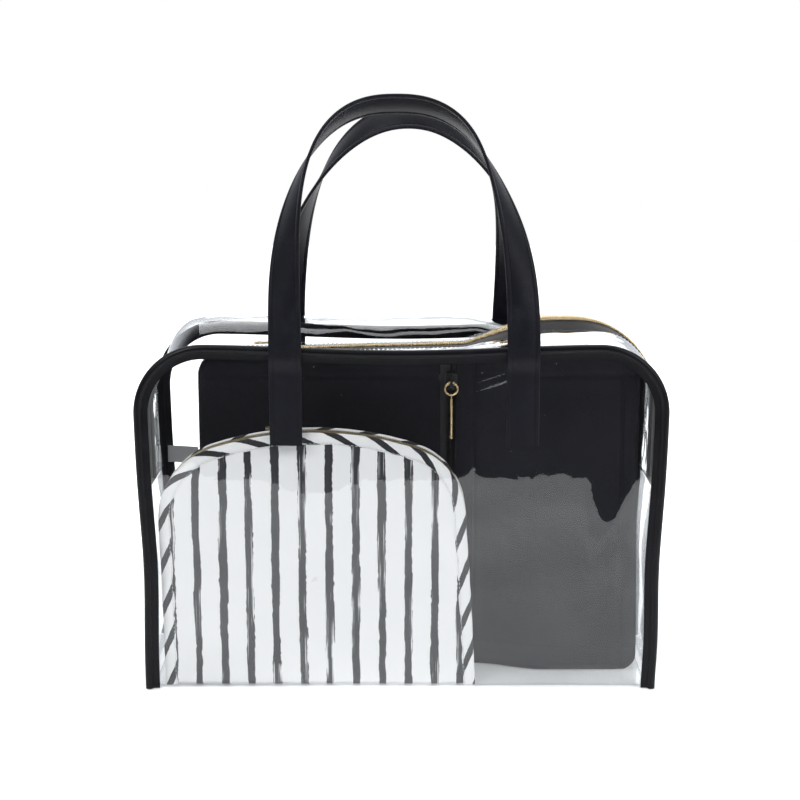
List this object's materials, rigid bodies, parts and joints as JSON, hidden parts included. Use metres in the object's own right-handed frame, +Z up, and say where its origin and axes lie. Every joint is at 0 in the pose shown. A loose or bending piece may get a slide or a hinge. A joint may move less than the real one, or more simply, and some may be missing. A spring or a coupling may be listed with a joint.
{
  "type": "clear travel makeup bag with pouches",
  "caption": "Clear zip-top makeup bag with black piping and two strap handles, holding a striped dome pouch and a flat black zip pouch.",
  "frame": {"origin": "under the middle of the base, on the surface that the bag stands on", "axes": "+Z up, +X to the right seen from the front, +Y to the back"},
  "size_m": [0.3784, 0.1294, 0.426],
  "materials": {
    "clear_film": "clear, soft, glossy vinyl film",
    "black_piping": "smooth satin vinyl over a cord",
    "black_strap": "matte imitation leather, fine grain, edge stitched",
    "grey_label": "blank woven satin label",
    "gold_metal": "light gold plated",
    "black_metal": "black enamelled zipper slider",
    "antique_metal": "antique gold plated",
    "black_coil": "black nylon coil",
    "antique_coil": "metallised nylon coil, antique gold",
    "gold_coil": "metallised nylon coil, light gold",
    "black_tape": "woven twill tape",
    "striped_binding": "bias binding, white with slanting black stripes",
    "striped_cloth": "white cloth with brushed black stripes",
    "black_cloth": "soft matte blue-black cloth"
  },
  "bodies": {
    "bag": {"back_handle_left_end": "black_strap", "back_handle_right_end": "black_strap", "back_panel": "clear_film", "back_piping": "black_piping", "back_top_strip": "clear_film", "back_zipper_coil": "gold_coil", "back_zipper_tape": "black_tape", "bottom_panel": "clear_film", "care_label": "grey_label", "front_handle_left_end": "black_strap", "front_handle_right_end": "black_strap", "front_panel": "clear_film", "front_piping": "black_piping", "front_top_strip": "clear_film", "front_zipper_coil": "gold_coil", "front_zipper_tape": "black_tape", "left_gusset": "clear_film", "left_zipper_stop": "gold_metal", "right_gusset": "clear_film", "right_zipper_stop": "gold_metal"},
    "front_handle": {"front_handle": "black_strap"},
    "back_handle": {"back_handle": "black_strap"},
    "zipper_slider": {"zipper_slider": "gold_metal"},
    "zipper_pull": {"zipper_pull": "gold_metal"},
    "striped_pouch": {"striped_pouch_back": "striped_cloth", "striped_pouch_back_binding": "striped_binding", "striped_pouch_back_coil": "antique_coil", "striped_pouch_back_tape": "black_tape", "striped_pouch_front": "striped_cloth", "striped_pouch_front_binding": "striped_binding", "striped_pouch_front_coil": "antique_coil", "striped_pouch_front_tape": "black_tape", "striped_pouch_gusset": "striped_cloth"},
    "striped_slider": {"striped_pouch_slider": "antique_metal"},
    "striped_pull": {"striped_pouch_pull": "antique_metal"},
    "black_pouch": {"black_pouch_back": "black_cloth", "black_pouch_flap": "black_cloth", "black_pouch_gusset": "black_cloth", "black_pouch_left_coil": "black_coil", "black_pouch_left_front": "black_cloth", "black_pouch_left_tape": "black_tape", "black_pouch_right_coil": "black_coil", "black_pouch_right_front": "black_cloth", "black_pouch_right_tape": "black_tape"},
    "black_slider": {"black_pouch_slider": "black_metal"},
    "black_pull": {"black_pouch_ring": "gold_metal", "black_pouch_pull": "gold_metal"}
  },
  "joints": [
    {"name": "front_handle_swing", "type": "hinge", "parent": "bag", "child": "front_handle", "pos_m": [0.002, -0.066, 0.252], "axis": [1, 0, 0], "range_deg": [-3, 165]},
    {"name": "back_handle_swing", "type": "hinge", "parent": "bag", "child": "back_handle", "pos_m": [-0.002, 0.066, 0.252], "axis": [-1, 0, 0], "range_deg": [-3, 190]},
    {"name": "zipper_slide", "type": "slide", "parent": "bag", "child": "zipper_slider", "axis": [0.9997, 0, 0.0251], "range_m": [-0.034, 0.111]},
    {"name": "zipper_pull_flip", "type": "hinge", "parent": "zipper_slider", "child": "zipper_pull", "pos_m": [-0.08414, 0, 0.24568], "axis": [0, 1, 0], "range_deg": [0, 165]},
    {"name": "striped_pouch_shift", "type": "slide", "parent": "bag", "child": "striped_pouch", "axis": [1, 0, 0], "range_m": [-0.005, 0.122]},
    {"name": "striped_slider_run", "type": "hinge", "parent": "striped_pouch", "child": "striped_slider", "pos_m": [-0.0625, -0.044, -0.04705], "axis": [0, 1, 0], "range_deg": [-9, 19]},
    {"name": "striped_pull_flip", "type": "hinge", "parent": "striped_slider", "child": "striped_pull", "pos_m": [-0.08126, -0.044, 0.19136], "axis": [0, 1, 0], "range_deg": [0, 165]},
    {"name": "black_pouch_shift", "type": "slide", "parent": "bag", "child": "black_pouch", "axis": [1, 0, 0], "range_m": [-0.014, 0.002]},
    {"name": "black_slider_run", "type": "slide", "parent": "black_pouch", "child": "black_slider", "axis": [0, 0, -1], "range_m": [0, 0.155]},
    {"name": "black_pull_lift", "type": "hinge", "parent": "black_slider", "child": "black_pull", "pos_m": [0.0365, -0.0141, 0.218], "axis": [1, 0, 0], "range_deg": [-120, 0]}
  ]
}
